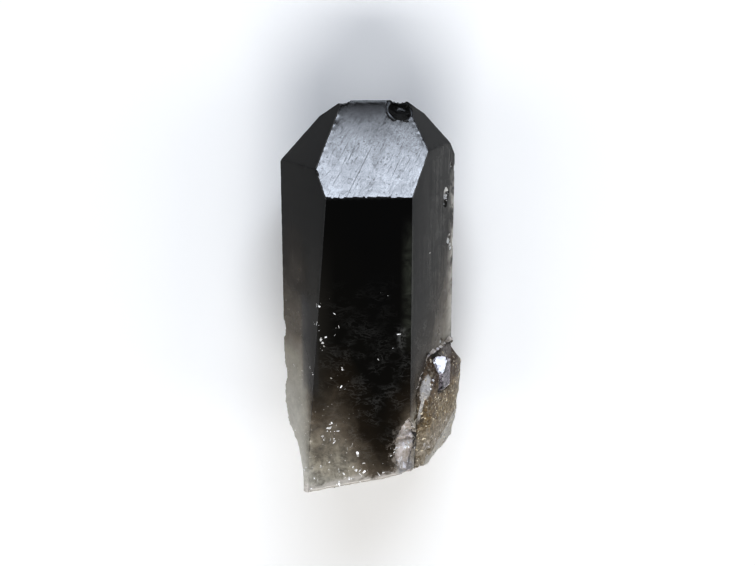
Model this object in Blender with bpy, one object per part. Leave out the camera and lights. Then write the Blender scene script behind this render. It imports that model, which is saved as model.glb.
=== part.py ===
"""Black smoky quartz crystal, lying on its flat back face.

One large six-sided crystal with a six-faced tip and a broken base, one side crystal that grew
parallel to it on its right flank, and one small crystal on the shoulder of the side crystal.
+Y runs up the long axis to the tip, +X is the right side and +Z is the front.
"""

import math

import bmesh
import bpy
from mathutils import Matrix, Vector

MM = 0.001
COLLECTION = "black_quartz_crystal"

# Each crystal starts as a six-sided bar and is cut down by flat faces. A face is its turn about the
# long axis (0 is the front, 90 the right), its rise toward the tip, and its distance in mm from the
# crystal's own centre.
BAR_RADIUS = 60.0
BAR_LENGTH = 160.0
TIP_RISE = 38.2  # the angle that quartz sets between a side face and the tip face above it
LEAN = 4.0  # how far the two left side faces lean off the long axis
GAP = 0.3  # clear space between crystals that touch

MAIN_FACES = (
    (0, 0, 11.2),  # front side face
    (60, 0, 10.5),
    (120, 0, 12.4),
    (180, 0, 11.2),  # back side face, which it rests on
    (-120, -LEAN, 12.0),
    (-60, LEAN, 10.9),
    (0, TIP_RISE, 5.8),  # large front tip face
    (60, TIP_RISE, 8.9),
    (120, TIP_RISE, 9.2),
    (180, TIP_RISE, 3.7),
    (-120, TIP_RISE, 8.4),
    (-60, TIP_RISE, 7.9),
    (90, -80, 48.4),  # broken base
    (170, -70, 47.3),  # broken base, back half
    (-109, -12.5, 19.2),  # break down the lower left side
)

SIDE_CENTRE = (10.2, -40.0, 2.2)
SIDE_FACES = (
    (0, 0, 6.7),
    (60, 0, 2.1),
    (120, 0, 6.1),
    (180, 0, 6.2),
    (-120, 0, 2.7),
    (-60, 0, 6.1),
    (0, TIP_RISE, 7.9),
    (60, TIP_RISE, 5.7),
    (120, TIP_RISE, 8.4),
    (180, TIP_RISE, 8.4),
    (-120, TIP_RISE, 5.3),
    (-60, TIP_RISE, 8.4),
    (0, -90, 8.2),  # broken base
    (65, -12, 2.8),  # broken lower right corner
)

SMALL_CENTRE = (11.1, -33.6, 3.6)
SMALL_FACES = (
    (0, 0, 1.95),
    (60, 0, 1.0),
    (120, 0, 1.5),
    (180, 0, 1.9),
    (-120, 0, 1.3),
    (-60, 0, 1.45),
    (0, TIP_RISE, 1.6),
    (60, TIP_RISE, 1.8),
    (120, TIP_RISE, 2.1),
    (180, TIP_RISE, 1.3),
    (-120, TIP_RISE, 2.1),
    (-60, TIP_RISE, 2.15),
    (0, -90, 2.7),
)

# Shell-shaped chips: the centre and radius in mm of the ball that scoops each one out.
CHIPS = {
    "base_left_chip": ((-17.9, -49.6, 2.0), 10.4),
    "base_front_chip": ((11.6, -43.8, 20.8), 12.5),
    "tip_chip": ((4.6, 7.5, 3.4), 2.4),
}
CHIP_SEGMENTS = 40


def face_direction(turn, rise):
    """Outward direction of a face."""
    turn = math.radians(turn)
    rise = math.radians(rise)
    level = math.cos(rise)
    return Vector((math.sin(turn) * level, math.sin(rise), math.cos(turn) * level))


def make_material(name, colour, roughness):
    """One Principled material of a single colour."""
    material = bpy.data.materials.new(name)
    material.use_nodes = True
    shader = material.node_tree.nodes["Principled BSDF"]
    shader.inputs["Base Color"].default_value = (*colour, 1.0)
    shader.inputs["Roughness"].default_value = roughness
    shader.inputs["IOR"].default_value = 1.544
    return material


def make_object(name, mesh, collection, centre, parent=None):
    """Turns a bmesh into an object whose own origin is the crystal's centre."""
    data = bpy.data.meshes.new(name)
    mesh.to_mesh(data)
    mesh.free()
    obj = bpy.data.objects.new(name, data)
    obj.location = Vector(centre) * MM
    obj.parent = parent
    collection.objects.link(obj)
    return obj


def crystal_mesh(faces, grow=0.0):
    """A six-sided bar cut by each face in turn, moved outward by grow."""
    mesh = bmesh.new()
    bmesh.ops.create_cone(
        mesh,
        cap_ends=True,
        segments=6,
        radius1=BAR_RADIUS * MM,
        radius2=BAR_RADIUS * MM,
        depth=BAR_LENGTH * MM,
        matrix=Matrix.Rotation(math.radians(90), 4, "X"),
    )
    for turn, rise, distance in faces:
        outward = face_direction(turn, rise)
        cut = bmesh.ops.bisect_plane(
            mesh,
            geom=mesh.verts[:] + mesh.edges[:] + mesh.faces[:],
            dist=1e-8,
            plane_co=outward * (distance + grow) * MM,
            plane_no=outward,
            clear_outer=True,
        )
        rim = [item for item in cut["geom_cut"] if isinstance(item, bmesh.types.BMEdge)]
        if rim:
            bmesh.ops.edgeloop_fill(mesh, edges=rim)
    bmesh.ops.recalc_face_normals(mesh, faces=mesh.faces[:])
    return mesh


def ball_mesh(radius):
    """A round ball that scoops out a chip."""
    mesh = bmesh.new()
    bmesh.ops.create_uvsphere(
        mesh,
        u_segments=CHIP_SEGMENTS,
        v_segments=CHIP_SEGMENTS // 2,
        radius=radius * MM,
    )
    return mesh


def as_cutter(obj):
    """Keeps a cutting shape out of the model."""
    obj.hide_render = True
    obj.display_type = "WIRE"
    return obj


def cut_away(obj, cutter):
    """Takes the cutter's shape out of the object."""
    boolean = obj.modifiers.new(cutter.name, "BOOLEAN")
    boolean.operation = "DIFFERENCE"
    boolean.solver = "EXACT"
    boolean.object = cutter


def build_main_crystal(parts, cutters, parent):
    obj = make_object("main_crystal", crystal_mesh(MAIN_FACES), parts, (0, 0, 0), parent)
    obj.data.materials.append(make_material("smoky_quartz", (0.030, 0.027, 0.026), 0.12))
    for name, (centre, radius) in CHIPS.items():
        ball = make_object(name, ball_mesh(radius), cutters, centre, parent)
        cut_away(obj, as_cutter(ball))
    return obj


def build_side_crystal(parts, parent):
    obj = make_object("side_crystal", crystal_mesh(SIDE_FACES), parts, SIDE_CENTRE, parent)
    obj.data.materials.append(make_material("smoky_quartz_side", (0.120, 0.095, 0.065), 0.15))
    return obj


def build_small_crystal(parts, parent):
    obj = make_object("small_crystal", crystal_mesh(SMALL_FACES), parts, SMALL_CENTRE, parent)
    obj.data.materials.append(make_material("smoky_quartz_small", (0.200, 0.180, 0.190), 0.08))
    return obj


def build_seat(name, faces, centre, cutters, parent):
    """The same crystal made bigger by the gap, to cut the hollow that it grows out of."""
    mesh = crystal_mesh(faces, GAP)
    return as_cutter(make_object(name, mesh, cutters, centre, parent))


def centre_on_origin(parent, parts):
    """Puts the middle of the whole at X = Y = 0 and its resting face at Z = 0."""
    bpy.context.view_layer.update()
    graph = bpy.context.evaluated_depsgraph_get()
    corners = []
    for obj in parts:
        evaluated = obj.evaluated_get(graph)
        corners += [evaluated.matrix_world @ Vector(corner) for corner in evaluated.bound_box]
    low = [min(corner[axis] for corner in corners) for axis in range(3)]
    high = [max(corner[axis] for corner in corners) for axis in range(3)]
    parent.location = (-(low[0] + high[0]) / 2, -(low[1] + high[1]) / 2, -low[2])


def clear_scene():
    for obj in list(bpy.data.objects):
        bpy.data.objects.remove(obj, do_unlink=True)


def new_collection(name):
    collection = bpy.data.collections.new(name)
    bpy.context.scene.collection.children.link(collection)
    return collection


def main():
    clear_scene()
    parts = new_collection(COLLECTION)
    cutters = new_collection("cutters")
    cutters.hide_render = True

    origin = bpy.data.objects.new("origin", None)
    parts.objects.link(origin)

    main_crystal = build_main_crystal(parts, cutters, origin)
    side_crystal = build_side_crystal(parts, origin)
    small_crystal = build_small_crystal(parts, origin)

    side_seat = build_seat("side_seat", SIDE_FACES, SIDE_CENTRE, cutters, origin)
    small_seat = build_seat("small_seat", SMALL_FACES, SMALL_CENTRE, cutters, origin)
    cut_away(main_crystal, side_seat)
    cut_away(main_crystal, small_seat)
    cut_away(side_crystal, small_seat)

    centre_on_origin(origin, (main_crystal, side_crystal, small_crystal))


main()
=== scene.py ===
import math

import bmesh
import bpy
import numpy as np
from mathutils import Matrix, Vector
from mathutils.bvhtree import BVHTree
from mathutils.geometry import delaunay_2d_cdt


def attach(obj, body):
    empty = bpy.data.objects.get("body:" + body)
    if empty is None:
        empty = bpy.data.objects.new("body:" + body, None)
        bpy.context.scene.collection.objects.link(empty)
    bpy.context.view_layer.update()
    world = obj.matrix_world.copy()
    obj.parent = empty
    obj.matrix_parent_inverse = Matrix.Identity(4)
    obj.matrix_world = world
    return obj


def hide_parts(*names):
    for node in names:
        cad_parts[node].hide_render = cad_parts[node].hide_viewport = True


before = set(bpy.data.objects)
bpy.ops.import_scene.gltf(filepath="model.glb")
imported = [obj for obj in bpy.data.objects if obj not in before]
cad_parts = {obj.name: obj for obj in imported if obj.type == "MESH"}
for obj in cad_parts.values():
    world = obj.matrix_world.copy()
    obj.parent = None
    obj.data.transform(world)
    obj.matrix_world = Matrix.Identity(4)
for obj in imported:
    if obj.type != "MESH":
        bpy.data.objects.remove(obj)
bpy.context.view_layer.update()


# The table and the studio. A plain pale sheet lies under the crystal. A window-like softbox stands
# low behind the tip, where the large front tip face mirrors it, and weaker side lights lift the
# rest. Nothing bright hangs overhead, so the front face stays black.

TABLE_HALF = 1.5
TABLE_DROP = 0.0001
CLOTH_WHITE = 0.88
STUDIO_LIGHT = 0.24
CAMERA_PLACE = Vector((-0.00805, 0.04646, 0.16652))
CAMERA_AIM = Vector((0.00047, 0.00120, 0.0112))

table_mesh = bpy.data.meshes.new("table")
corners = [(TABLE_HALF * x, TABLE_HALF * y, 0.0) for x, y in ((-1, -1), (1, -1), (1, 1), (-1, 1))]
table_mesh.from_pydata(corners, [], [(0, 1, 2, 3)])
table = bpy.data.objects.new("table", table_mesh)
table.location.z = -TABLE_DROP
bpy.context.scene.collection.objects.link(table)

pale_cloth = bpy.data.materials.new("pale_cloth")
pale_cloth.use_nodes = True
cloth = pale_cloth.node_tree.nodes["Principled BSDF"]
cloth.inputs["Base Color"].default_value = (CLOTH_WHITE, CLOTH_WHITE, CLOTH_WHITE, 1.0)
cloth.inputs["Roughness"].default_value = 0.9
cloth.inputs["Specular IOR Level"].default_value = 0.1
table_mesh.materials.append(pale_cloth)


def softbox(name, middle, toward, width, height, power, colour):
    """A rectangular area light, with its middle and the point that it faces in metres."""
    data = bpy.data.lights.new(name, "AREA")
    data.shape = "RECTANGLE"
    data.size = width
    data.size_y = height
    data.energy = power
    data.color = colour
    light = bpy.data.objects.new(name, data)
    light.location = middle
    aim = Vector(toward) - Vector(middle)
    light.rotation_euler = aim.to_track_quat("-Z", "Y").to_euler()
    bpy.context.scene.collection.objects.link(light)


softbox("window", (0.03, 0.551, 0.3445), (0, 0, 0.01), 0.50, 0.23, 3.4, (0.84, 0.90, 1.0))
softbox("left_fill", (-0.50, -0.08, 0.36), (0, 0, 0), 0.40, 0.30, 0.75, (1.0, 0.98, 0.95))
softbox("right_fill", (0.50, -0.10, 0.34), (0, 0, 0), 0.40, 0.30, 0.70, (1.0, 0.98, 0.95))
softbox("front_fill", (0.0, -0.45, 0.42), (0, -0.02, 0), 0.50, 0.20, 2.65, (1.0, 0.99, 0.97))

world = bpy.data.worlds.new("studio")
bpy.context.scene.world = world
world.use_nodes = True
backdrop = world.node_tree.nodes["Background"]
backdrop.inputs["Color"].default_value = (0.97, 0.98, 1.0, 1.0)
backdrop.inputs["Strength"].default_value = STUDIO_LIGHT

camera_data = bpy.data.cameras.new("camera")
camera_data.lens = 50.0
camera_data.sensor_width = 36.0
camera_data.clip_start = 0.01
camera = bpy.data.objects.new("camera", camera_data)
camera.location = CAMERA_PLACE
back = (CAMERA_PLACE - CAMERA_AIM).normalized()
right = Vector((0.0, 1.0, 0.0)).cross(back).normalized()
camera.rotation_euler = Matrix((right, back.cross(right), back)).transposed().to_euler()
bpy.context.scene.collection.objects.link(camera)
bpy.context.scene.camera = camera
bpy.context.scene.view_settings.view_transform = "Standard"
bpy.context.scene.view_settings.gamma = 0.7


# The main crystal. One natural six-sided column of smoky quartz, nearly black at the tip and
# clearing to milky grey at the base, where it broke off its rock. It grew in one piece: its faces
# are flat and finely lined, its edges are nicked, and its base is a rough shell-like break.

MM = 0.001
TIP_RISE = 38.2  # degrees from a side face to the tip face above it
MAIN_SPACING = 0.30  # mm between mesh points
SAME_WAY = 0.9995  # faces whose directions agree this closely are the same grown face
CRISP_TURN = math.radians(22)  # edges that fold more than this are kept sharp and can wear
GRID_JITTER = 0.13  # how unevenly the mesh points lie, as a share of their spacing
ROW_GAP = 0.87  # the gap between rows of mesh points, as a share of their spacing
BORDER_GAP = 0.55  # how clear of a face's border its inner points stay, in the same way
MESH_SEED = 4
STAYS_SHARP = math.radians(35)  # folds sharper than this still look crisp after weathering


def face_direction(turn, rise):
    """Outward direction of a crystal face: its turn about the long axis and its rise to the tip."""
    turn = math.radians(turn)
    rise = math.radians(rise)
    level = math.cos(rise)
    return Vector((math.sin(turn) * level, math.sin(rise), math.cos(turn) * level))


def segment_distance(points, starts, ends):
    """Distance from each point to the nearest of some line segments."""
    best = np.full(len(points), 1e9)
    for start, end in zip(starts, ends):
        along = end - start
        share = np.clip((points - start) @ along / max(along @ along, 1e-12), 0.0, 1.0)
        away = points - (start + share[:, None] * along)
        best = np.minimum(best, np.sqrt((away * away).sum(axis=1)))
    return best


def inner_points(outline, spacing, chance):
    """Points on a slightly uneven triangular grid inside a flat outline, clear of its border."""
    low = outline.min(axis=0)
    high = outline.max(axis=0)
    rows = np.arange(low[1], high[1], spacing * ROW_GAP)
    columns = np.arange(low[0], high[0] + spacing, spacing)
    grid = np.array([(x + (n % 2) * spacing / 2, y) for n, y in enumerate(rows) for x in columns])
    if len(grid) == 0:
        return grid.reshape(0, 2)
    grid += chance.uniform(-GRID_JITTER, GRID_JITTER, grid.shape) * spacing
    starts = outline
    ends = np.roll(outline, -1, axis=0)
    inside = np.zeros(len(grid), dtype=bool)
    for (x0, y0), (x1, y1) in zip(starts, ends):
        if y0 != y1:
            crosses = (grid[:, 1] > min(y0, y1)) & (grid[:, 1] <= max(y0, y1))
            inside ^= crosses & (grid[:, 0] < x0 + (grid[:, 1] - y0) * (x1 - x0) / (y1 - y0))
    grid = grid[inside]
    return grid[segment_distance(grid, starts, ends) > spacing * BORDER_GAP]


def finely_meshed(node, spacing, grown_faces):
    """A copy of a CAD node in small even triangles that keep its flat faces and crisp edges.

    The spacing is in mm. It stores "edge", the distance in mm to the nearest edge, "broken", which
    is 1 on broken surfaces, "lined", which is 1 on the side faces, "polished", which is 1 on the
    front tip face, and "bruised", 0 for now."""
    source = bmesh.new()
    source.from_mesh(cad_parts[node].data)
    bmesh.ops.remove_doubles(source, verts=source.verts[:], dist=1e-6)
    bmesh.ops.dissolve_limit(
        source, angle_limit=math.radians(0.6), verts=source.verts[:], edges=source.edges[:]
    )
    source.verts.index_update()
    source.edges.index_update()
    chance = np.random.RandomState(MESH_SEED)
    points = [np.array(vertex.co) / MM for vertex in source.verts]
    along_edge = []
    for edge in source.edges:
        first, last = (vertex.index for vertex in edge.verts)
        count = max(1, round(edge.calc_length() / MM / spacing))
        inner = list(range(len(points), len(points) + count - 1))
        for step in range(1, count):
            points.append(points[first] + (points[last] - points[first]) * step / count)
        along_edge.append([first, *inner, last])
    triangles = []
    broken = {}
    lined = {}
    polished = {}
    for face in source.faces:
        face.normal_update()
        normal = face.normal
        border = []
        for loop in face.loops:
            run = along_edge[loop.edge.index]
            border += run[:-1] if run[0] == loop.vert.index else run[:0:-1]
        across = normal.orthogonal().normalized()
        axes = np.array([across, normal.cross(across)])
        middle = points[border[0]]
        outline = np.array([axes @ (points[index] - middle) for index in border])
        inner = inner_points(outline, spacing, chance)
        names = border + list(range(len(points), len(points) + len(inner)))
        points += [middle + axes.T @ spot for spot in inner]
        flat = [Vector(spot) for spot in outline] + [Vector(spot) for spot in inner]
        _, _, made, came_from, _, _ = delaunay_2d_cdt(flat, [], [list(range(len(border)))], 1, 1e-7)
        for triangle in made:
            triangles.append([names[came_from[corner][0]] for corner in triangle])
        is_broken = max(normal.dot(grown) for grown in grown_faces) < SAME_WAY
        for index in names:
            broken[index] = max(broken.get(index, 0.0), float(is_broken))
            lined[index] = max(lined.get(index, 0.0), float(not is_broken and abs(normal.y) < 0.2))
            polished[index] = float(normal.dot(face_direction(0, TIP_RISE)) > SAME_WAY)
    crisp = [
        edge
        for edge in source.edges
        if len(edge.link_faces) == 2 and edge.calc_face_angle(0.0) > CRISP_TURN
    ]
    starts = np.array([edge.verts[0].co for edge in crisp]) / MM
    ends = np.array([edge.verts[1].co for edge in crisp]) / MM
    source.free()
    points = np.array(points)
    fine = bpy.data.meshes.new(node + "_fine")
    fine.from_pydata((points * MM).tolist(), [], triangles)
    in_order = range(len(points))
    for name, values in (
        ("edge", segment_distance(points, starts, ends)),
        ("broken", [broken.get(index, 0.0) for index in in_order]),
        ("lined", [lined.get(index, 0.0) for index in in_order]),
        ("polished", [polished.get(index, 0.0) for index in in_order]),
        ("bruised", np.zeros(len(points))),
    ):
        fine.attributes.new(name, "FLOAT", "POINT").data.foreach_set("value", values)
    fine.update()
    return fine


# Small calls that lay out a node tree, for geometry and shaders alike.


def link_or_set(tree, socket, value):
    if isinstance(value, bpy.types.NodeSocket):
        tree.links.new(value, socket)
    elif value is not None:
        socket.default_value = (*value, 1.0) if socket.type == "RGBA" else value


def maths(tree, operation, first, second=None, third=None, clamp=False):
    node = tree.nodes.new("ShaderNodeMath")
    node.operation = operation
    node.use_clamp = clamp
    for socket, value in zip(node.inputs, (first, second, third)):
        link_or_set(tree, socket, value)
    return node.outputs[0]


def times(tree, first, *others):
    """The product of several sockets and numbers."""
    for other in others:
        first = maths(tree, "MULTIPLY", first, other)
    return first


def scale_add(tree, first, second, third):
    """The first times the second, plus the third."""
    return maths(tree, "MULTIPLY_ADD", first, second, third)


def rescale(tree, value, low, high, to_low=0.0, to_high=1.0, smooth=False):
    """Maps low..high to to_low..to_high, and holds the ends."""
    node = tree.nodes.new("ShaderNodeMapRange")
    node.interpolation_type = "SMOOTHSTEP" if smooth else "LINEAR"
    link_or_set(tree, node.inputs["Value"], value)
    for name, number in zip(("From Min", "From Max", "To Min", "To Max"), (low, high, to_low, to_high)):
        link_or_set(tree, node.inputs[name], number)
    return node.outputs["Result"]


def scaled(tree, vector, scale, turn=None):
    """The vector turned by angles in degrees, then scaled on each axis."""
    if turn:
        rotate = tree.nodes.new("ShaderNodeVectorRotate")
        rotate.rotation_type = "EULER_XYZ"
        rotate.inputs["Rotation"].default_value = [math.radians(angle) for angle in turn]
        tree.links.new(vector, rotate.inputs["Vector"])
        vector = rotate.outputs["Vector"]
    node = tree.nodes.new("ShaderNodeVectorMath")
    node.operation = "MULTIPLY"
    tree.links.new(vector, node.inputs[0])
    node.inputs[1].default_value = scale
    return node.outputs["Vector"]


def cloudy(tree, vector, scale=1.0, detail=2.0, roughness=0.5, distortion=0.0):
    node = tree.nodes.new("ShaderNodeTexNoise")
    tree.links.new(vector, node.inputs["Vector"])
    for name, value in (
        ("Scale", scale),
        ("Detail", detail),
        ("Roughness", roughness),
        ("Distortion", distortion),
    ):
        link_or_set(tree, node.inputs[name], value)
    return node.outputs[0]


def cells(tree, vector, scale):
    """The distance to the nearest of many scattered points."""
    node = tree.nodes.new("ShaderNodeTexVoronoi")
    tree.links.new(vector, node.inputs["Vector"])
    node.inputs["Scale"].default_value = scale
    return node.outputs["Distance"]


def blend_colours(tree, factor, first, second, mode="MIX"):
    node = tree.nodes.new("ShaderNodeMix")
    node.data_type = "RGBA"
    node.blend_type = mode
    link_or_set(tree, node.inputs["Factor"], factor)
    link_or_set(tree, node.inputs["A"], first)
    link_or_set(tree, node.inputs["B"], second)
    return node.outputs["Result"]


def colour_ramp(tree, factor, stops):
    node = tree.nodes.new("ShaderNodeValToRGB")
    tree.links.new(factor, node.inputs["Fac"])
    ramp = node.color_ramp
    while len(ramp.elements) < len(stops):
        ramp.elements.new(0.5)
    for element, (position, colour) in zip(ramp.elements, stops):
        element.position = position
        element.color = (*colour, 1.0)
    return node.outputs["Color"]


def length_of(tree, across, along):
    """The length of a flat vector, which gives a round or oval patch its distance outward."""
    flat = tree.nodes.new("ShaderNodeCombineXYZ")
    link_or_set(tree, flat.inputs[0], across)
    link_or_set(tree, flat.inputs[1], along)
    length = tree.nodes.new("ShaderNodeVectorMath")
    length.operation = "LENGTH"
    tree.links.new(flat.outputs[0], length.inputs[0])
    return length.outputs["Value"]


def start_group(name, inputs, outputs):
    """An empty shader group, its input node and its output node."""
    group = bpy.data.node_groups.new(name, "ShaderNodeTree")
    for socket, kind in inputs.items():
        group.interface.new_socket(socket, in_out="INPUT", socket_type="NodeSocket" + kind)
    for socket in outputs:
        group.interface.new_socket(socket, in_out="OUTPUT", socket_type="NodeSocketFloat")
    return group, group.nodes.new("NodeGroupInput"), group.nodes.new("NodeGroupOutput")


def place_group(tree, group, **values):
    node = tree.nodes.new("ShaderNodeGroup")
    node.node_tree = group
    for name, value in values.items():
        link_or_set(tree, node.inputs[name.replace("_", " ").capitalize()], value)
    return node.outputs


# Fine scratches from handling, in two crossing sets, with a few long deep ones and small pits.

scratches, given, result = start_group("scratches", {"Place": "Vector"}, ["Fine", "Deep", "Pits"])
tree = scratches
streak = given.outputs[0]
fine_one = cloudy(tree, scaled(tree, streak, (4.2, 0.30, 0.5), (0, 0, 32)), detail=5, roughness=0.65)
fine_two = cloudy(tree, scaled(tree, streak, (3.4, 0.45, 0.5), (0, 0, 52)), detail=4, roughness=0.65)
deep_one = cloudy(tree, scaled(tree, streak, (2.4, 0.06, 0.1), (0, 0, 29)), detail=1)
deep_two = cloudy(tree, scaled(tree, streak, (1.9, 0.08, 0.1), (0, 0, 38)), detail=1)
fine_lines = maths(tree, "MAXIMUM", rescale(tree, fine_one, 0.55, 0.68), rescale(tree, fine_two, 0.6, 0.7))
deep_lines = maths(
    tree, "MAXIMUM", rescale(tree, deep_one, 0.70, 0.74), rescale(tree, deep_two, 0.72, 0.76)
)
across = tree.nodes.new("ShaderNodeSeparateXYZ")
tree.links.new(scaled(tree, streak, (1.0, 1.0, 1.0), (0, 0, 31)), across.inputs[0])
longest = maths(tree, "ABSOLUTE", maths(tree, "ADD", across.outputs[0], 12.6))
longest = rescale(tree, longest, 0.10, 0.04)
faded = rescale(tree, cloudy(tree, streak, 0.22, detail=1), 0.44, 0.58, 0.0, 0.8)
deep_lines = maths(tree, "MAXIMUM", deep_lines, times(tree, longest, faded))
large_pits = rescale(tree, cells(tree, streak, 1.3), 0.24, 0.12)
small_pits = rescale(tree, cells(tree, streak, 3.1), 0.30, 0.14)
pits = maths(tree, "MAXIMUM", large_pits, times(tree, small_pits, 0.6))
dust = rescale(tree, cloudy(tree, streak, 5.5, detail=2, roughness=0.7), 0.50, 0.68, 0.0, 0.75)
pits = maths(tree, "MAXIMUM", pits, dust)
tree.links.new(fine_lines, result.inputs["Fine"])
tree.links.new(deep_lines, result.inputs["Deep"])
tree.links.new(pits, result.inputs["Pits"])

# Growth lines: fine steps across the side faces, square to the long axis.

growth_lines, given, result = start_group("growth_lines", {"Place": "Vector"}, ["Height"])
tree = growth_lines
broad = cloudy(tree, scaled(tree, given.outputs[0], (0.05, 0.9, 0.05)), detail=4, roughness=0.7)
patches = cloudy(tree, given.outputs[0], 0.35, detail=3)
tree.links.new(times(tree, broad, patches), result.inputs["Height"])

# A worn edge: a nibbled band of tiny fractures along each sharp edge.

worn_edge, given, result = start_group(
    "worn_edge", {"Place": "Vector", "Edge": "Float", "Width": "Float"}, ["Worn"]
)
tree = worn_edge
nibble = cloudy(tree, given.outputs["Place"], 2.2, detail=5, roughness=0.7)
reach = times(tree, rescale(tree, nibble, 0.42, 0.66), given.outputs["Width"])
tree.links.new(maths(tree, "GREATER_THAN", reach, given.outputs["Edge"]), result.inputs["Worn"])

# Sugary break: the grainy, mottled surface where quartz has fractured.

sugary_break, given, result = start_group("sugary_break", {"Place": "Vector"}, ["Height", "Mottle"])
tree = sugary_break
lumps = cloudy(tree, given.outputs[0], 0.9, detail=6, roughness=0.65, distortion=0.6)
grains = cells(tree, given.outputs[0], 2.4)
height = scale_add(tree, grains, 0.35, lumps)
tree.links.new(height, result.inputs["Height"])
tree.links.new(rescale(tree, lumps, 0.35, 0.65), result.inputs["Mottle"])

# Veils: wispy healed cracks inside the crystal, seen as pale thin threads.

veils, given, result = start_group("veils", {"Place": "Vector"}, ["Threads"])
tree = veils
flow = scaled(tree, given.outputs[0], (0.8, 1.5, 1.0))
wisp = cloudy(tree, flow, 0.42, detail=8, roughness=0.66, distortion=0.5)
wisp = maths(tree, "ABSOLUTE", maths(tree, "SUBTRACT", wisp, 0.5))
curl = cloudy(tree, flow, 0.30, detail=7, roughness=0.62, distortion=1.0)
curl = maths(tree, "ABSOLUTE", maths(tree, "SUBTRACT", curl, 0.52))
thread = maths(tree, "MAXIMUM", rescale(tree, wisp, 0.035, 0.0), rescale(tree, curl, 0.022, 0.0))
patch = rescale(tree, cloudy(tree, given.outputs[0], 0.42, detail=3), 0.42, 0.62)
tree.links.new(times(tree, thread, patch), result.inputs["Threads"])

# Cloudiness: milky clouds and small grains within the clearer quartz, and pin-point glints, which are
# painted highlights.

cloudiness, given, result = start_group("cloudiness", {"Place": "Vector"}, ["Clouds", "Grains", "Glints"])
tree = cloudiness
clouds = cloudy(tree, given.outputs[0], 0.33, detail=7, roughness=0.68, distortion=0.8)
grain = cloudy(tree, given.outputs[0], 1.3, detail=4, roughness=0.75, distortion=0.4)
glint_cells = cells(tree, given.outputs[0], 1.6)
glint_patch = rescale(tree, cloudy(tree, given.outputs[0], 0.5, detail=2), 0.5, 0.62)
# Painted highlight: the glint dots are later painted near-white into the colour.
painted_glint = rescale(tree, glint_cells, 0.20, 0.10)
tree.links.new(rescale(tree, clouds, 0.38, 0.62), result.inputs["Clouds"])
tree.links.new(rescale(tree, grain, 0.40, 0.60), result.inputs["Grains"])
tree.links.new(times(tree, painted_glint, glint_patch), result.inputs["Glints"])


def crystal_material(name):
    """A new material with its tree, the place in mm and the stored attributes."""
    material = bpy.data.materials.new(name)
    material.use_nodes = True
    tree = material.node_tree
    place = tree.nodes.new("ShaderNodeTexCoord")
    in_mm = scaled(tree, place.outputs["Object"], (1 / MM,) * 3)
    found = {}
    for attribute in ("edge", "broken", "lined", "polished", "bruised"):
        node = tree.nodes.new("ShaderNodeAttribute")
        node.attribute_name = attribute
        found[attribute] = node.outputs["Fac"]
    return material, tree, in_mm, found


def parts_of(tree, place):
    """The place's distance to the side, up the crystal and to the front, in mm."""
    axes = tree.nodes.new("ShaderNodeSeparateXYZ")
    tree.links.new(place, axes.inputs[0])
    return axes.outputs


def finish_surface(tree, relief, strength, **values):
    """Gives the shader its sockets by name, and its relief in mm as a bump."""
    shader = tree.nodes["Principled BSDF"]
    for name, value in values.items():
        link_or_set(tree, shader.inputs[name.replace("_", " ")], value)
    bump = tree.nodes.new("ShaderNodeBump")
    bump.inputs["Strength"].default_value = strength
    bump.inputs["Distance"].default_value = MM
    tree.links.new(relief, bump.inputs["Height"])
    tree.links.new(bump.outputs["Normal"], shader.inputs["Normal"])


smoky_quartz, tree, place, found = crystal_material("smoky_quartz")
edge, broken, lined, polished, bruised = found.values()
side, up, front = parts_of(tree, place)

# The smoke is thickest at the tip and along the middle, and thins to the base and the two flanks.
drift = cloudy(tree, place, 0.13, detail=5, roughness=0.6)
core = maths(tree, "POWER", maths(tree, "SUBTRACT", side, 0.2), 2.0)
core = maths(tree, "POWER", 2.718, times(tree, core, -0.05))
left_flank = rescale(tree, side, -9.2, -11.5, smooth=True)
right_flank = rescale(tree, side, 7.0, 13.5, smooth=True)
smoke = scale_add(tree, core, 12.0, maths(tree, "ADD", up, 6.0))
smoke = scale_add(tree, left_flank, -9.5, smoke)
smoke = scale_add(tree, right_flank, rescale(tree, up, 21.0, 13.0, -3.0, -12.0), smoke)
smoke = scale_add(tree, rescale(tree, front, 20.5, 22.2), 4.0, smoke)
left_milk = times(tree, rescale(tree, up, -4.5, -10.5), rescale(tree, up, -19.0, -13.0))
smoke = scale_add(tree, times(tree, left_milk, left_flank), -3.8, smoke)
low_right = times(tree, rescale(tree, side, 2.0, 6.0, smooth=True), rescale(tree, up, -14.0, -19.0))
smoke = scale_add(tree, low_right, -14.0, smoke)
smoke = scale_add(tree, rescale(tree, up, -22.0, -28.0), -6.0, smoke)
smoke = scale_add(tree, maths(tree, "SUBTRACT", drift, 0.5), 18.0, smoke)
zoning = colour_ramp(
    tree,
    rescale(tree, smoke, -30.0, 30.0),
    [
        (0.00, (0.690, 0.675, 0.625)),
        (0.14, (0.475, 0.455, 0.405)),
        (0.26, (0.360, 0.332, 0.278)),
        (0.37, (0.172, 0.145, 0.112)),
        (0.50, (0.034, 0.025, 0.016)),
        (0.64, (0.012, 0.011, 0.009)),
        (1.00, (0.008, 0.008, 0.008)),
    ],
)
milk = place_group(tree, cloudiness, place=place)
crumbs = place_group(tree, sugary_break, place=place)
low = rescale(tree, smoke, 4.0, -14.0)
shade = scale_add(tree, milk["Grains"], 0.32, scale_add(tree, milk["Clouds"], 0.62, 0.46))
shade_share = times(tree, low, scale_add(tree, left_flank, -0.75, 1.0))
shade = scale_add(tree, maths(tree, "SUBTRACT", shade, 1.0), shade_share, 1.0)
colour = blend_colours(tree, 1.0, zoning, shade, "MULTIPLY")
veil = place_group(tree, veils, place=place)["Threads"]
veil_zone = times(tree, rescale(tree, up, 6.0, -8.0), rescale(tree, up, -29.0, -20.0), 0.12)
lace_spot = length_of(tree, scale_add(tree, side, 1.2, -4.1), scale_add(tree, up, 0.36, 1.4))
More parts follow.
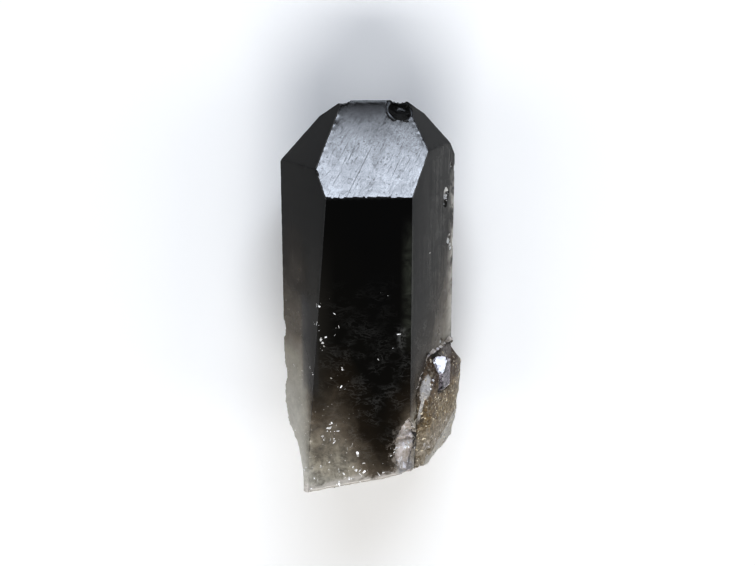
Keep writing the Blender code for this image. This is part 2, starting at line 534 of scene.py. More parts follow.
lace_spot = rescale(tree, lace_spot, 1.2, 0.3, smooth=True)
lace_spot = times(tree, lace_spot, rescale(tree, crumbs["Mottle"], 0.35, 0.85, 0.0, 0.22))
veil = scale_add(tree, veil, veil_zone, lace_spot)
colour = blend_colours(tree, veil, colour, (0.50, 0.50, 0.49))
olive = times(
    tree,
    rescale(tree, side, 6.5, 8.5, smooth=True),
    rescale(tree, up, -8.0, -16.0),
    rescale(tree, milk["Clouds"], 0.0, 1.0, 0.35, 0.85),
)
colour = blend_colours(tree, olive, colour, (0.20, 0.150, 0.085))
strip = times(
    tree,
    rescale(tree, side, 3.0, 4.4, smooth=True),
    rescale(tree, front, 21.5, 22.2),
    rescale(tree, up, 15.0, 9.0, smooth=True),
    rescale(tree, up, -7.0, -3.0, smooth=True),
    rescale(tree, milk["Clouds"], 0.1, 0.9, 0.25, 1.0),
)
colour = blend_colours(tree, times(tree, strip, 0.45), colour, (0.150, 0.160, 0.130))
frost = scale_add(tree, maths(tree, "SUBTRACT", milk["Grains"], 0.5), 2.2, side)
frost = times(
    tree,
    rescale(tree, frost, 2.0, 3.2),
    rescale(tree, up, -17.5, -20.0),
    rescale(tree, milk["Clouds"], 0.0, 0.8, 0.35, 0.8),
)
colour = blend_colours(tree, frost, colour, (0.46, 0.42, 0.38))
# Painted highlights: pin-point glints, painted near-white where the smoke thins.
painted_glints = times(tree, milk["Glints"], times(tree, low, 0.7))
colour = blend_colours(tree, painted_glints, colour, (0.95, 0.93, 0.90))

# The left face is darker and bluer next to its front edge. The right edge is thin, and the light that it
# lets in is painted as a pale band.
inner_band = times(
    tree,
    rescale(tree, side, -11.4, -10.9),
    rescale(tree, side, -8.6, -9.0),
    rescale(tree, up, -13.5, -11.0, smooth=True),
    rescale(tree, up, 3.0, 0.0, smooth=True),
)
colour = blend_colours(tree, times(tree, inner_band, 0.6), colour, (0.060, 0.064, 0.072))
soft_side = times(
    tree,
    rescale(tree, side, -6.2, -9.2),
    rescale(tree, up, 12.0, 2.0),
    rescale(tree, up, -16.0, -12.0),
    rescale(tree, side, -10.8, -9.6),
)
colour = blend_colours(tree, times(tree, soft_side, 0.6), colour, (0.062, 0.057, 0.049))
# Painted light: a pale band along the thin right edge.
painted_edge_light = times(
    tree,
    rescale(tree, side, 11.0, 12.5, smooth=True),
    rescale(tree, up, 20.0, 15.0),
    rescale(tree, milk["Clouds"], 0.1, 0.8),
)
colour = blend_colours(tree, painted_edge_light, colour, (0.62, 0.60, 0.55))

# A dull bloom with fine lengthwise streaks lies on the right flank.
streaks = cloudy(tree, scaled(tree, place, (2.2, 0.10, 2.2)), detail=4, roughness=0.7)
bloom = times(
    tree,
    rescale(tree, streaks, 0.3, 0.75),
    rescale(tree, side, 5.0, 9.0),
    times(tree, lined, 0.20),
    rescale(tree, milk["Clouds"], 0.0, 1.0, 0.45, 1.35),
)
colour = blend_colours(tree, bloom, colour, (0.55, 0.54, 0.51))

# Breaks near the base are pale and sugary, bruises are white with a painted highlight, and worn edges pale
# toward the base.
dim_break = blend_colours(tree, milk["Clouds"], (0.38, 0.33, 0.27), (0.62, 0.58, 0.53))
pale_break = blend_colours(tree, times(tree, milk["Grains"], 0.6), dim_break, (0.84, 0.78, 0.79))
white_spots = rescale(tree, crumbs["Mottle"], 0.66, 0.9)
pale_break = blend_colours(tree, white_spots, pale_break, (0.95, 0.93, 0.95))
break_share = times(tree, broken, rescale(tree, up, 0.0, -12.0))
colour = blend_colours(tree, break_share, colour, pale_break)
# The bruises are white chip scars, painted whiter still as a highlight where the chips catch light.
ragged = scale_add(tree, milk["Grains"], 0.75, -0.75)
bruise = rescale(tree, maths(tree, "ADD", bruised, ragged), 0.35, 0.6)
bruise_white_and_highlight = blend_colours(tree, milk["Grains"], (0.65, 0.64, 0.62), (1.0, 1.0, 1.0))
colour = blend_colours(tree, bruise, colour, bruise_white_and_highlight)
# Painted light: a pale band along the rim of the base break, where light shows through its thin edge.
rim_light_reach = scale_add(tree, side, -0.135, maths(tree, "ADD", up, 27.3))
rim_light_reach = scale_add(tree, maths(tree, "SUBTRACT", 0.5, milk["Clouds"]), 1.1, rim_light_reach)
painted_rim_light = times(
    tree,
    rescale(tree, rim_light_reach, 1.9, 0.9, smooth=True),
    rescale(tree, up, -24.0, -25.0),
    rescale(tree, milk["Clouds"], 0.0, 0.7, 0.45, 0.85),
)
colour = blend_colours(tree, painted_rim_light, colour, (0.60, 0.57, 0.54))
tip_line = times(
    tree,
    rescale(tree, edge, 0.42, 0.18),
    rescale(tree, up, 21.0, 22.0),
    times(tree, broken, milk["Clouds"]),
)
colour = blend_colours(tree, tip_line, colour, (0.45, 0.47, 0.50))
wear_width = rescale(tree, up, -24.0, -28.0, 0.10, 0.85)
wear = place_group(tree, worn_edge, place=place, edge=edge, width=wear_width)["Worn"]
worn_colour = blend_colours(tree, rescale(tree, up, -22.0, -27.0), (0.03, 0.03, 0.033), (0.74, 0.71, 0.68))
colour = blend_colours(tree, times(tree, wear, 0.85), colour, worn_colour)

# The front tip face is scuffed and pitted, which breaks up its gloss.
marks = place_group(tree, scratches, place=place)
scuffs = scale_add(tree, marks["Deep"], 0.45, times(tree, marks["Fine"], 0.36))
scuffs = scale_add(tree, marks["Pits"], 0.42, scuffs)
roughness = rescale(tree, smoke, 10.0, -15.0, 0.13, 0.36)
roughness = scale_add(tree, polished, 0.07, roughness)
break_roughness = times(tree, broken, rescale(tree, up, 5.0, -12.0, 0.15, 0.5))
roughness = maths(tree, "MAXIMUM", roughness, break_roughness)
ridge = times(tree, rescale(tree, up, 18.0, 22.0, 0.0, 0.9), rescale(tree, side, 1.4, 0.4))
roughness = maths(tree, "MAXIMUM", roughness, times(tree, ridge, broken))
roughness = maths(tree, "MAXIMUM", roughness, times(tree, wear, 0.55))
gloss = times(
    tree,
    polished,
    rescale(tree, front, 11.6, 15.4, 0.10, 0.95, smooth=True),
    maths(tree, "SUBTRACT", 1.0, scuffs, clamp=True),
    rescale(tree, milk["Clouds"], 0.0, 1.0, 0.75, 1.0),
)
gloss = maths(tree, "MAXIMUM", gloss, times(tree, lined, rescale(tree, smoke, 4.0, -12.0, 0.0, 0.25)))
gloss = times(tree, gloss, maths(tree, "SUBTRACT", 1.0, wear))
shell_gloss = times(tree, broken, rescale(tree, up, 20.0, 25.0, 0.0, 0.16), rescale(tree, side, 0.4, 1.4))
gloss = maths(tree, "MAXIMUM", gloss, shell_gloss)

lines = times(tree, place_group(tree, growth_lines, place=place)["Height"], lined)
relief = times(tree, lines, 0.05)
relief = scale_add(tree, times(tree, scuffs, polished), -0.008, relief)
rubble = times(tree, crumbs["Height"], maths(tree, "MAXIMUM", broken, bruise))
relief = scale_add(tree, rubble, 0.5, relief)
finish_surface(
    tree,
    relief,
    0.6,
    Base_Color=colour,
    Roughness=roughness,
    Coat_Weight=gloss,
    IOR=1.42,
    Transmission_Weight=0.18,
    Specular_Tint=(0.2, 0.2, 0.2),
    Coat_Roughness=0.16,
    Coat_IOR=2.0,
)

# Weathering: the growth steps on the faces, the shell-like waves of the breaks, and the worn edges.
# It only ever takes material away.

SKIN_DROP = 0.06  # mm that every face is sunk, so that nothing stands proud of the true faces


def start_geometry(name, numbers):
    """An empty geometry tree for a modifier, with its inputs by name: the geometry, the given
    numbers and the material."""
    tree = bpy.data.node_groups.new(name, "GeometryNodeTree")
    tree.is_modifier = True
    for socket, kind in {"Geometry": "Geometry", **numbers, "Material": "Material"}.items():
        tree.interface.new_socket(socket, in_out="INPUT", socket_type="NodeSocket" + kind)
    tree.interface.new_socket("Geometry", in_out="OUTPUT", socket_type="NodeSocketGeometry")
    return tree, tree.nodes.new("NodeGroupInput").outputs


def end_geometry(tree, geometry, material):
    """Makes any copies real, gives them their material and ends the tree."""
    real = tree.nodes.new("GeometryNodeRealizeInstances")
    tree.links.new(geometry, real.inputs[0])
    paint = tree.nodes.new("GeometryNodeSetMaterial")
    tree.links.new(real.outputs[0], paint.inputs["Geometry"])
    tree.links.new(material, paint.inputs["Material"])
    tree.links.new(paint.outputs[0], tree.nodes.new("NodeGroupOutput").inputs[0])


def stored(tree, name):
    node = tree.nodes.new("GeometryNodeInputNamedAttribute")
    node.data_type = "FLOAT"
    node.inputs["Name"].default_value = name
    return node.outputs["Attribute"]


weathering, given = start_geometry(
    "weathering", {"Break Depth": "Float", "Wear Depth": "Float", "Growth Step": "Float"}
)
tree = weathering
spot = scaled(tree, tree.nodes.new("GeometryNodeInputPosition").outputs[0], (1 / MM,) * 3)
height_up = parts_of(tree, spot)[1]
near_base = rescale(tree, height_up, -20.0, -26.0)
edge_mm = stored(tree, "edge")
is_broken = stored(tree, "broken")
shells = cloudy(tree, spot, 0.13, detail=1, distortion=1.6)
shells = maths(tree, "ABSOLUTE", maths(tree, "SUBTRACT", shells, 0.5))
waves = cloudy(tree, spot, 0.34, detail=2, distortion=0.9)
waves = maths(tree, "ABSOLUTE", maths(tree, "SUBTRACT", waves, 0.5))
grit = cloudy(tree, spot, 1.1, detail=4, roughness=0.65)
waves = scale_add(tree, waves, 1.5, times(tree, grit, 0.30))
waves = scale_add(tree, shells, 3.4, waves)
waves = times(tree, waves, rescale(tree, height_up, 16.0, 20.0, 1.0, 0.3))
taken = times(tree, times(tree, waves, is_broken), given["Break Depth"])
nibbles = rescale(tree, cloudy(tree, spot, 0.8, detail=4, roughness=0.7), 0.47, 0.72)
rate = rescale(tree, height_up, 0.0, -22.0, 0.12, 1.0)
top_rate = times(tree, is_broken, rescale(tree, height_up, 24.0, 27.0, 0.0, 0.6))
rate = maths(tree, "MAXIMUM", rate, top_rate)
nibbles = times(tree, nibbles, rate)
close_by = rescale(tree, edge_mm, 0.9, 0.0, smooth=True)
worn = times(tree, times(tree, nibbles, close_by), given["Wear Depth"])
blunt = times(tree, times(tree, close_by, near_base), 0.34)
steps = cloudy(tree, scaled(tree, spot, (0.06, 0.7, 0.06)), detail=3, roughness=0.6)
steps = times(tree, steps, stored(tree, "lined"), given["Growth Step"])
taken = maths(tree, "ADD", maths(tree, "ADD", taken, worn), maths(tree, "ADD", blunt, steps))
taken = scale_add(tree, taken, -MM, -SKIN_DROP * MM)
inward = tree.nodes.new("ShaderNodeVectorMath")
inward.operation = "SCALE"
tree.links.new(tree.nodes.new("GeometryNodeInputNormal").outputs[0], inward.inputs[0])
tree.links.new(taken, inward.inputs["Scale"])
move = tree.nodes.new("GeometryNodeSetPosition")
tree.links.new(given["Geometry"], move.inputs["Geometry"])
tree.links.new(inward.outputs[0], move.inputs["Offset"])
end_geometry(tree, move.outputs[0], given["Material"])


def grown_from(name, mesh, tree, **values):
    """A plain mesh object: the given mesh taken through a geometry tree with these inputs."""
    holder = bpy.data.objects.new(name + "_seed", mesh)
    bpy.context.scene.collection.objects.link(holder)
    modifier = holder.modifiers.new(tree.name, "NODES")
    modifier.node_group = tree
    for socket in tree.interface.items_tree:
        key = socket.name.replace(" ", "_").lower()
        if socket.in_out == "INPUT" and key in values:
            modifier[socket.identifier] = values[key]
    graph = bpy.context.evaluated_depsgraph_get()
    made = bpy.data.meshes.new_from_object(holder.evaluated_get(graph))
    bpy.data.objects.remove(holder)
    obj = bpy.data.objects.new(name, made)
    bpy.context.scene.collection.objects.link(obj)
    return obj


def points_of(mesh):
    points = np.empty(len(mesh.vertices) * 3)
    mesh.vertices.foreach_get("co", points)
    return points.reshape(-1, 3)


def scoop(mesh, scars):
    """Hollows out shell-shaped scars. Each has a place in mm, a turn and rise, the radius of its
    ball and its depth in mm, and 1 where it shows white."""
    points = points_of(mesh)
    changed = {}
    for name in ("broken", "bruised"):
        changed[name] = np.empty(len(points))
        mesh.attributes[name].data.foreach_get("value", changed[name])
    for place, turn, rise, radius, depth, white in scars:
        middle = (np.array(place) + np.array(face_direction(turn, rise)) * (radius - depth)) * MM
        away = points - middle
        distance = np.linalg.norm(away, axis=1)
        inside = distance < radius * MM
        points[inside] = middle + away[inside] * (radius * MM / distance[inside])[:, None]
        changed["broken"][inside] = np.maximum(changed["broken"][inside], 0.35)
        changed["bruised"][inside] = white
    mesh.vertices.foreach_set("co", points.ravel())
    for name, values in changed.items():
        mesh.attributes[name].data.foreach_set("value", values)
    mesh.update()


def rounded(mesh, share, passes):
    """Rounds a mesh off by moving each point toward the middle of its neighbours, by its share."""
    points = points_of(mesh)
    pairs = np.empty(len(mesh.edges) * 2, dtype=int)
    mesh.edges.foreach_get("vertices", pairs)
    first, last = pairs.reshape(-1, 2).T
    count = np.bincount(pairs, minlength=len(points))
    share = np.asarray(share(points / MM))[:, None] * 0.7
    for _ in range(passes):
        middle = np.stack(
            [
                np.bincount(first, points[last, axis], len(points))
                + np.bincount(last, points[first, axis], len(points))
                for axis in range(3)
            ],
            axis=1,
        )
        points += (middle / count[:, None] - points) * share
    mesh.vertices.foreach_set("co", points.ravel())
    mesh.update()


def worn_main(points):
    """The base rim and the lower right corner, where the crystal is worn round."""
    base = np.clip((-26.2 - points[:, 1]) / 1.5, 0.0, 1.0) * 0.6
    corner = np.clip((-17.0 - points[:, 1]) / 2.0, 0.0, 1.0) * np.clip(points[:, 0] - 1.0, 0.0, 1.0)
    return np.maximum(base, corner * np.clip(5.6 - points[:, 0], 0.0, 1.0))


MAIN_GROWN = [
    face_direction(turn, rise)
    for turn, rise in ((0, 0), (60, 0), (120, 0), (180, 0), (-120, -4), (-60, 4))
] + [face_direction(turn, TIP_RISE) for turn in (0, 60, 120, 180, -120, -60)]
MAIN_SCARS = (
    ((12.8, 18.7, 9.0), 88, 0, 4.5, 0.45, 0),
    ((12.8, 7.2, 9.0), 88, 0, 4.5, 0.45, 0),
    ((12.8, 12.6, 9.0), 88, 0, 2.5, 0.18, 0),
    ((10.9, 15.3, 11.9), 60, 0, 1.3, 0.40, 1),
    ((10.8, 13.9, 12.1), 60, 0, 0.8, 0.25, 1),
    ((11.8, 19.3, 10.4), 60, 0, 0.6, 0.18, 1),
    ((11.6, 7.9, 10.8), 65, 0, 1.3, 0.35, 1),
    ((11.9, 6.6, 10.2), 65, 0, 0.8, 0.25, 1),
    ((10.4, -7.9, 12.8), 60, 0, 0.6, 0.18, 1),
    ((-8.7, 20.3, 19.8), -30, 20, 0.8, 0.16, 0),
    ((7.4, 21.9, 18.4), 35, 20, 0.7, 0.15, 0),
    ((-4.6, 29.2, 12.3), -20, 70, 1.6, 0.25, 0),
    ((-14.0, -5.0, 14.0), -90, 0, 2.6, 0.20, 0),
    ((-13.9, -12.0, 14.6), -90, 0, 3.4, 0.22, 0),
)
main_mesh = finely_meshed("main_crystal", MAIN_SPACING, MAIN_GROWN)
scoop(main_mesh, MAIN_SCARS)
rounded(main_mesh, worn_main, 14)
main_crystal = grown_from(
    "main_crystal_body",
    main_mesh,
    weathering,
    break_depth=1.1,
    wear_depth=0.30,
    growth_step=0.05,
    material=smoky_quartz,
)
main_crystal.data.set_sharp_from_angle(angle=STAYS_SHARP)
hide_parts("main_crystal")
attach(main_crystal, "root")


# The side crystal. Brown, cloudy quartz that grew parallel to the main crystal, half sunk in its right
# flank. Its skin is sugary and weathered, and its lower corner broke away with the base.

SIDE_SPACING = 0.22  # mm between mesh points
JOINT_GAP = 0.03  # mm left between the skins of two crystals where they join
SIDE_GROWN = [face_direction(turn, rise) for turn in (0, 60, 120, 180, -120, -60) for rise in (0, TIP_RISE)]


def surface_tree(obj):
    wall = bmesh.new()
    wall.from_mesh(obj.data)
    tree = BVHTree.FromBMesh(wall)
    wall.free()
    return tree


def close_joint(mesh, neighbour, full, reach):
    """Grows a mesh out to its neighbour where the two crystals join: wholly within the full
    distance, and less and less up to the reach."""
    tree = surface_tree(neighbour)
    for vertex in mesh.vertices:
        place, _, _, distance = tree.find_nearest(vertex.co, reach)
        if place is not None and distance > JOINT_GAP * MM:
            share = min((reach - distance) / (reach - full), 1.0)
            vertex.co += (place - vertex.co) * (1.0 - JOINT_GAP * MM / distance) * share
    mesh.update()


sugary_quartz, tree, place, found = crystal_material("sugary_quartz")
edge, broken, _, polished, bruised = found.values()
side, up, _ = parts_of(tree, place)
crumbs = place_group(tree, sugary_break, place=place)
milk = place_group(tree, cloudiness, place=place)
drift = cloudy(tree, place, 0.35, detail=5, roughness=0.6)
clear = scale_add(tree, maths(tree, "SUBTRACT", drift, 0.5), 9.0, up)
zoning = colour_ramp(
    tree,
    rescale(tree, clear, -28.0, -8.0),
    [
        (0.00, (0.80, 0.74, 0.64)),
        (0.25, (0.58, 0.46, 0.30)),
        (0.50, (0.38, 0.275, 0.140)),
        (0.75, (0.22, 0.135, 0.065)),
        (1.00, (0.13, 0.090, 0.060)),
    ],
)
dark_grains = times(tree, maths(tree, "SUBTRACT", 1.0, milk["Grains"]), 0.7)
grain = blend_colours(tree, dark_grains, zoning, (0.05, 0.035, 0.018))
light_grains = times(tree, rescale(tree, crumbs["Mottle"], 0.55, 1.0), 0.45)
grain = blend_colours(tree, light_grains, grain, (0.80, 0.73, 0.60))
# Painted highlights: pin-point glints painted near-white over the grains.
colour = blend_colours(tree, milk["Glints"], grain, (1.0, 0.97, 0.92))
flank = rescale(tree, side, 12.0, 13.8, smooth=True)
colour = blend_colours(tree, times(tree, flank, 0.35), colour, (0.62, 0.60, 0.56))
# Partly pale quartz, partly painted highlight: the strip down the left facet, its thin ridge and the pale
# tip patch are painted near-white to look lit, though the main crystal shades them.
slant = scale_add(tree, up, -0.22, maths(tree, "SUBTRACT", side, 10.2))
lens_spot = length_of(tree, times(tree, slant, 1.15), scale_add(tree, up, 0.5, 6.6))
ragged = scale_add(tree, maths(tree, "SUBTRACT", milk["Grains"], 0.5), 0.25, lens_spot)
pale_strip_and_highlight = rescale(tree, ragged, 1.0, 0.8)
left_facet = times(tree, rescale(tree, side, 7.2, 6.8), rescale(tree, up, -19.5, -18.0))
colour = blend_colours(tree, times(tree, left_facet, 0.75), colour, (0.10, 0.075, 0.048))
painted_ridge_highlight = rescale(tree, maths(tree, "ABSOLUTE", maths(tree, "ADD", slant, 0.1)), 0.32, 0.20)
painted_ridge_highlight = times(tree, painted_ridge_highlight, rescale(tree, up, -18.8, -17.0), rescale(tree, up, -13.0, -14.0))
pale_tip = times(
    tree, rescale(tree, up, -11.0, -10.5), rescale(tree, side, 12.4, 12.0), rescale(tree, side, 10.0, 10.4)
)
pale_strip_and_highlight = maths(tree, "MAXIMUM", pale_strip_and_highlight, maths(tree, "MAXIMUM", painted_ridge_highlight, pale_tip))
pale_strip_and_highlight = times(tree, pale_strip_and_highlight, rescale(tree, milk["Grains"], 0.0, 0.6, 0.6, 1.0))
colour = blend_colours(tree, times(tree, pale_strip_and_highlight, 0.9), colour, (0.96, 0.93, 0.91))
ruddy = times(
    tree,
    rescale(tree, up, -15.0, -12.5, smooth=True),
    rescale(tree, side, 8.6, 9.6),
    maths(tree, "SUBTRACT", 0.7, times(tree, flank, 0.5)),
)
colour = blend_colours(tree, ruddy, colour, (0.065, 0.030, 0.018))
low_milk = blend_colours(tree, milk["Grains"], (0.29, 0.24, 0.165), (0.62, 0.56, 0.49))
low_share = times(tree, rescale(tree, up, -18.0, -22.0, smooth=True), 0.8)
colour = blend_colours(tree, low_share, colour, low_milk)
white_spots = rescale(tree, crumbs["Mottle"], 0.78, 0.98)
colour = blend_colours(tree, times(tree, white_spots, low_share), colour, (1.0, 0.98, 1.0))
colour = blend_colours(tree, broken, colour, (0.66, 0.63, 0.58))
bruise = rescale(tree, bruised, 0.4, 0.6)
colour = blend_colours(tree, bruise, colour, (0.92, 0.90, 0.92))
wear = place_group(tree, worn_edge, place=place, edge=edge, width=0.2)["Worn"]
colour = blend_colours(tree, times(tree, wear, 0.5), colour, (0.50, 0.46, 0.40))
# The painted glint dots also get a glossy coat.
gloss = maths(tree, "MAXIMUM", times(tree, milk["Glints"], 0.8), times(tree, polished, 0.9))
relief = scale_add(tree, milk["Grains"], 0.18, times(tree, crumbs["Height"], 0.4))
finish_surface(
    tree,
    relief,
    0.7,
    Base_Color=colour,
    Roughness=rescale(tree, crumbs["Mottle"], 0.0, 1.0, 0.22, 0.5),
    Coat_Weight=gloss,
    IOR=1.544,
    Transmission_Weight=0.3,
    Coat_Roughness=0.08,
    Coat_IOR=1.8,
)

side_mesh = finely_meshed("side_crystal", SIDE_SPACING, SIDE_GROWN)
SIDE_SCARS = (
    ((12.9, -22.0, 11.0), 70, -10, 1.8, 0.35, 0),
    ((13.4, -19.0, 9.5), 90, 0, 1.6, 0.30, 0),
)
scoop(side_mesh, SIDE_SCARS)


def worn_side(points):
    """The lower end of the side crystal, away from its joint with the main one."""
    tree = surface_tree(main_crystal)
    apart = np.array([tree.find_nearest(Vector(point * MM))[3] / MM for point in points])
    return np.clip((-14.0 - points[:, 1]) / 3.0, 0.0, 1.0) * np.clip((apart - 0.9) / 1.2, 0.0, 1.0)


rounded(side_mesh, worn_side, 24)
close_joint(side_mesh, main_crystal, 0.9 * MM, 2.0 * MM)
side_crystal = grown_from(
    "side_crystal_body",
    side_mesh,
    weathering,
    break_depth=0.35,
    wear_depth=0.25,
    growth_step=0.06,
    material=sugary_quartz,
)
side_crystal.data.set_sharp_from_angle(angle=STAYS_SHARP)
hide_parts("side_crystal")
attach(side_crystal, "root")


# The small crystal. A bright, glassy point of clear quartz that grew on the shoulder of the side
# crystal, with finely lined sides and a mirror-like tip face.

SMALL_SPACING = 0.09  # mm between mesh points

clear_quartz, tree, place, found = crystal_material("clear_quartz")
drift = cloudy(tree, place, 0.9, detail=5, roughness=0.6)
stripes = cloudy(tree, scaled(tree, place, (1.4, 4.5, 1.4), (0, 0, -30)), detail=4, roughness=0.6)
striped = rescale(tree, stripes, 0.44, 0.58)
colour = blend_colours(tree, striped, (0.04, 0.035, 0.04), (0.52, 0.47, 0.52))
colour = blend_colours(tree, found["polished"], colour, (0.50, 0.47, 0.52))
wear = place_group(tree, worn_edge, place=place, edge=found["edge"], width=0.18)["Worn"]
colour = blend_colours(tree, wear, colour, (0.90, 0.88, 0.88))
pitted = rescale(tree, cells(tree, place, 2.2), 0.14, 0.30, 0.05, 0.85)
pitted = times(
    tree,
    pitted,
    rescale(tree, drift, 0.36, 0.5, 0.35, 1.0),
    rescale(tree, found["polished"], 0.0, 1.0, 0.12, 1.0),
)
finish_surface(
    tree,
    times(tree, stripes, 0.06),
    0.5,
    Base_Color=colour,
    Roughness=rescale(tree, drift, 0.3, 0.7, 0.06, 0.22),
    Coat_Weight=pitted,
    IOR=1.544,
    Transmission_Weight=0.4,
    Coat_Roughness=0.06,
    Coat_IOR=1.8,
)

small_mesh = finely_meshed("small_crystal", SMALL_SPACING, SIDE_GROWN)
close_joint(small_mesh, side_crystal, 0.35 * MM, 0.6 * MM)
small_crystal = grown_from(
    "small_crystal_body",
    small_mesh,
    weathering,
    break_depth=0.1,
    wear_depth=0.06,
    growth_step=0.02,
    material=clear_quartz,
)
small_crystal.data.set_sharp_from_angle(angle=math.radians(30))
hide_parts("small_crystal")
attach(small_crystal, "root")


# The seam grains. Where the side crystal grew into the main one, the joint is packed with crumbs of
# sugary quartz. They are ragged chips, half sunk in the skin along the seam.

FLECKS_PER_SQUARE_METRE = 1.0e6
SEAM_REACH = 0.8  # mm from the side crystal
LOW_SEAM = -17.0  # mm along the crystal, below which the joint is broken open
LOW_GRAINS = 4.0
HIGH_GRAINS = 0.5


def by_chance(tree, low, high, seed, kind="FLOAT"):
    node = tree.nodes.new("FunctionNodeRandomValue")
    node.data_type = kind
    node.inputs["Seed"].default_value = seed
    first = next(socket for socket in node.inputs if socket.name == "Min" and socket.enabled)
    last = next(socket for socket in node.inputs if socket.name == "Max" and socket.enabled)
    first.default_value = low
    last.default_value = high
    return next(socket for socket in node.outputs if socket.enabled)


flecks, given = start_geometry("flecks", {"Amount": "Float", "Largest": "Float", "Seed": "Int"})
tree = flecks
scatter = tree.nodes.new("GeometryNodeDistributePointsOnFaces")
tree.links.new(given["Geometry"], scatter.inputs["Mesh"])
tree.links.new(times(tree, stored(tree, "fleck_share"), given["Amount"]), scatter.inputs["Density"])
tree.links.new(given["Seed"], scatter.inputs["Seed"])
chip = tree.nodes.new("GeometryNodeMeshIcoSphere")
chip.inputs["Radius"].default_value = 0.5
chip.inputs["Subdivisions"].default_value = 1
ragged = tree.nodes.new("GeometryNodeSetPosition")
tree.links.new(chip.outputs["Mesh"], ragged.inputs["Geometry"])
jolt = tree.nodes.new("ShaderNodeTexNoise")
jolt.inputs["Scale"].default_value = 2.0
shift = tree.nodes.new("ShaderNodeVectorMath")
shift.operation = "SUBTRACT"
tree.links.new(jolt.outputs["Color"], shift.inputs[0])
shift.inputs[1].default_value = (0.5, 0.5, 0.5)
tree.links.new(shift.outputs[0], ragged.inputs["Offset"])
spread = tree.nodes.new("GeometryNodeInstanceOnPoints")
tree.links.new(scatter.outputs["Points"], spread.inputs["Points"])
tree.links.new(ragged.outputs[0], spread.inputs["Instance"])
spin = tree.nodes.new("FunctionNodeRotateRotation")
tree.links.new(scatter.outputs["Rotation"], spin.inputs["Rotation"])
turned = tree.nodes.new("FunctionNodeEulerToRotation")
tree.links.new(by_chance(tree, (0, 0, 0), (0, 0, 6.28), 3, "FLOAT_VECTOR"), turned.inputs[0])
tree.links.new(turned.outputs[0], spin.inputs["Rotate By"])
spin.rotation_space = "LOCAL"
tree.links.new(spin.outputs[0], spread.inputs["Rotation"])
size = tree.nodes.new("ShaderNodeVectorMath")
size.operation = "SCALE"
tree.links.new(by_chance(tree, (0.5, 0.12, 0.05), (1.1, 0.5, 0.07), 5, "FLOAT_VECTOR"), size.inputs[0])
skew = maths(tree, "POWER", by_chance(tree, 0.35, 1.0, 7), 2.6)
tree.links.new(times(tree, skew, given["Largest"]), size.inputs["Scale"])
tree.links.new(size.outputs[0], spread.inputs["Scale"])
end_geometry(tree, spread.outputs[0], given["Material"])


def fleck_sown(mesh, share):
    """A copy of a mesh that stores how thickly flecks lie on it."""
    sown = mesh.copy()
    sown.attributes.new("fleck_share", "FLOAT", "POINT").data.foreach_set("value", share)
    return sown


points = points_of(main_crystal.data) / MM
side_tree = surface_tree(side_crystal)
seam_share = np.zeros(len(points))
for index in np.nonzero((points[:, 0] > 4.0) & (points[:, 1] < -5.0) & (points[:, 2] > 1.5))[0]:
    near, _, _, distance = side_tree.find_nearest(Vector(points[index] * MM), SEAM_REACH * MM)
    if near is not None:
        amount = LOW_GRAINS if points[index, 1] < LOW_SEAM else HIGH_GRAINS
        seam_share[index] = amount * (1.0 - distance / (SEAM_REACH * MM))
seam_grains = grown_from(
    "seam_grains",
    fleck_sown(main_crystal.data, seam_share),
    flecks,
    amount=FLECKS_PER_SQUARE_METRE,
    largest=2.0 * MM,
    seed=5,
    material=sugary_quartz,
)
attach(seam_grains, "root")


# The side flecks. Golden glints of cracked quartz, thin chips that lie in the skin of the side
# crystal and are thickest half way down its front.


def splinter_material(name, dull, bright):
    material, tree, place, _ = crystal_material(name)
    shades = cloudy(tree, place, 1.1, detail=3, roughness=0.7)
    finish_surface(
        tree,
        times(tree, cloudy(tree, place, 6.0), 0.05),
        0.5,
        Base_Color=blend_colours(tree, rescale(tree, shades, 0.4, 0.6), dull, bright),
        Roughness=rescale(tree, shades, 0.3, 0.7, 0.5, 0.2),
    )
    return material


GLINT_MIDDLE = -17.0  # mm along the crystal, where the glints are thickest
GLINT_SPREAD = 2.5  # mm

golden_splinter = splinter_material("golden_splinter", (0.46, 0.38, 0.25), (0.97, 0.91, 0.78))
side_points = points_of(side_crystal.data) / MM
side_share = 1.0 + 3.0 * np.exp(-(((side_points[:, 1] - GLINT_MIDDLE) / GLINT_SPREAD) ** 2)) * (
    side_points[:, 2] > 9.0
)
side_flecks = grown_from(
    "side_flecks",
    fleck_sown(side_crystal.data, side_share),
    flecks,
    amount=FLECKS_PER_SQUARE_METRE,
    largest=0.9 * MM,
    seed=8,
    material=golden_splinter,
)
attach(side_flecks, "root")


# The surface flecks. Tiny splinters and healed crack ends of white quartz show on the front face
# and along the broken edges of the main crystal. Each is a thin chip that lies in its skin.

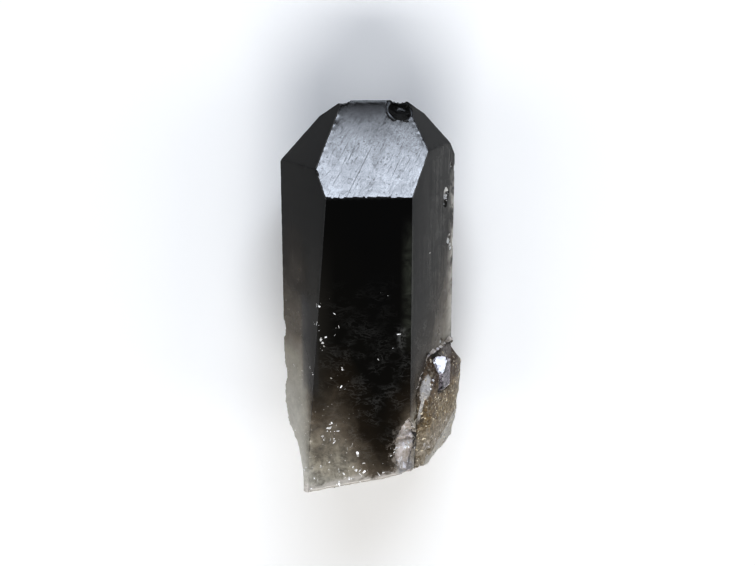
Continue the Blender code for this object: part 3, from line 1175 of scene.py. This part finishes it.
# Each spot has its place across and up the crystal, its spread, all in mm, and its amount.
FLECK_SPOTS = (
    (-8.1, 0.1, 0.30, 9.0), (-8.9, -1.6, 0.30, 7.0), (-8.6, 1.2, 0.25, 10.0),
    (-8.3, -1.0, 0.35, 10.0), (-8.4, -2.8, 0.30, 16.0), (-7.9, -3.6, 0.25, 12.0),
    (-8.2, -4.2, 0.28, 16.0), (-8.1, -4.9, 0.28, 18.0), (-8.3, -5.6, 0.30, 18.0),
    (-6.0, -2.2, 0.20, 12.0), (-6.2, -3.15, 0.20, 12.0), (-9.6, -9.3, 0.30, 8.0),
    (-7.1, -9.95, 0.25, 10.0), (-5.5, -8.7, 0.55, 6.0), (-5.5, -11.7, 0.30, 8.0),
    (-7.3, -18.0, 1.10, 4.0), (-6.9, -20.0, 0.45, 10.0), (-7.9, -19.7, 0.35, 10.0),
    (-4.5, -20.8, 0.60, 4.0), (-3.7, -21.4, 0.60, 4.0), (-3.0, -24.5, 1.00, 2.5),
    (-5.0, -26.3, 0.80, 3.0), (-6.2, -27.6, 0.70, 3.0), (3.3, -3.2, 0.50, 3.0),
    (3.9, 1.5, 0.50, 1.6), (3.6, -22.0, 1.00, 8.0), (3.2, -24.4, 0.70, 7.0),
    (4.4, -19.4, 0.60, 7.0),
)
FLANK_SPOTS = (
    ((10.9, 15.3, 11.9), 0.8, 4.0),
    ((11.8, 19.3, 10.4), 0.4, 6.0),
    ((11.6, 7.9, 10.8), 0.8, 3.0),
    ((10.3, -7.9, 12.9), 0.5, 8.0),
    ((10.9, -7.7, 11.9), 0.4, 8.0),
    ((4.8, -22.0, 17.0), 2.4, 5.0),
)

fleck_share = np.full(len(points), 0.02)
for x, y, spread, amount in FLECK_SPOTS:
    apart = np.hypot(points[:, 0] - x, points[:, 1] - y)
    fleck_share += amount * np.exp(-((apart / spread) ** 2)) * (points[:, 2] > 17.0)
fleck_share += 0.5 * (points[:, 1] < -24.0)
fleck_share *= points[:, 1] < 8.0
for place, spread, amount in FLANK_SPOTS:
    apart = np.linalg.norm(points - np.array(place), axis=1)
    fleck_share += amount * np.exp(-((apart / spread) ** 2))
white_splinter = splinter_material("white_splinter", (0.35, 0.34, 0.31), (0.98, 0.98, 1.0))
surface_flecks = grown_from(
    "surface_flecks",
    fleck_sown(main_crystal.data, fleck_share),
    flecks,
    amount=FLECKS_PER_SQUARE_METRE,
    largest=1.0 * MM,
    seed=11,
    material=white_splinter,
)
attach(surface_flecks, "root")
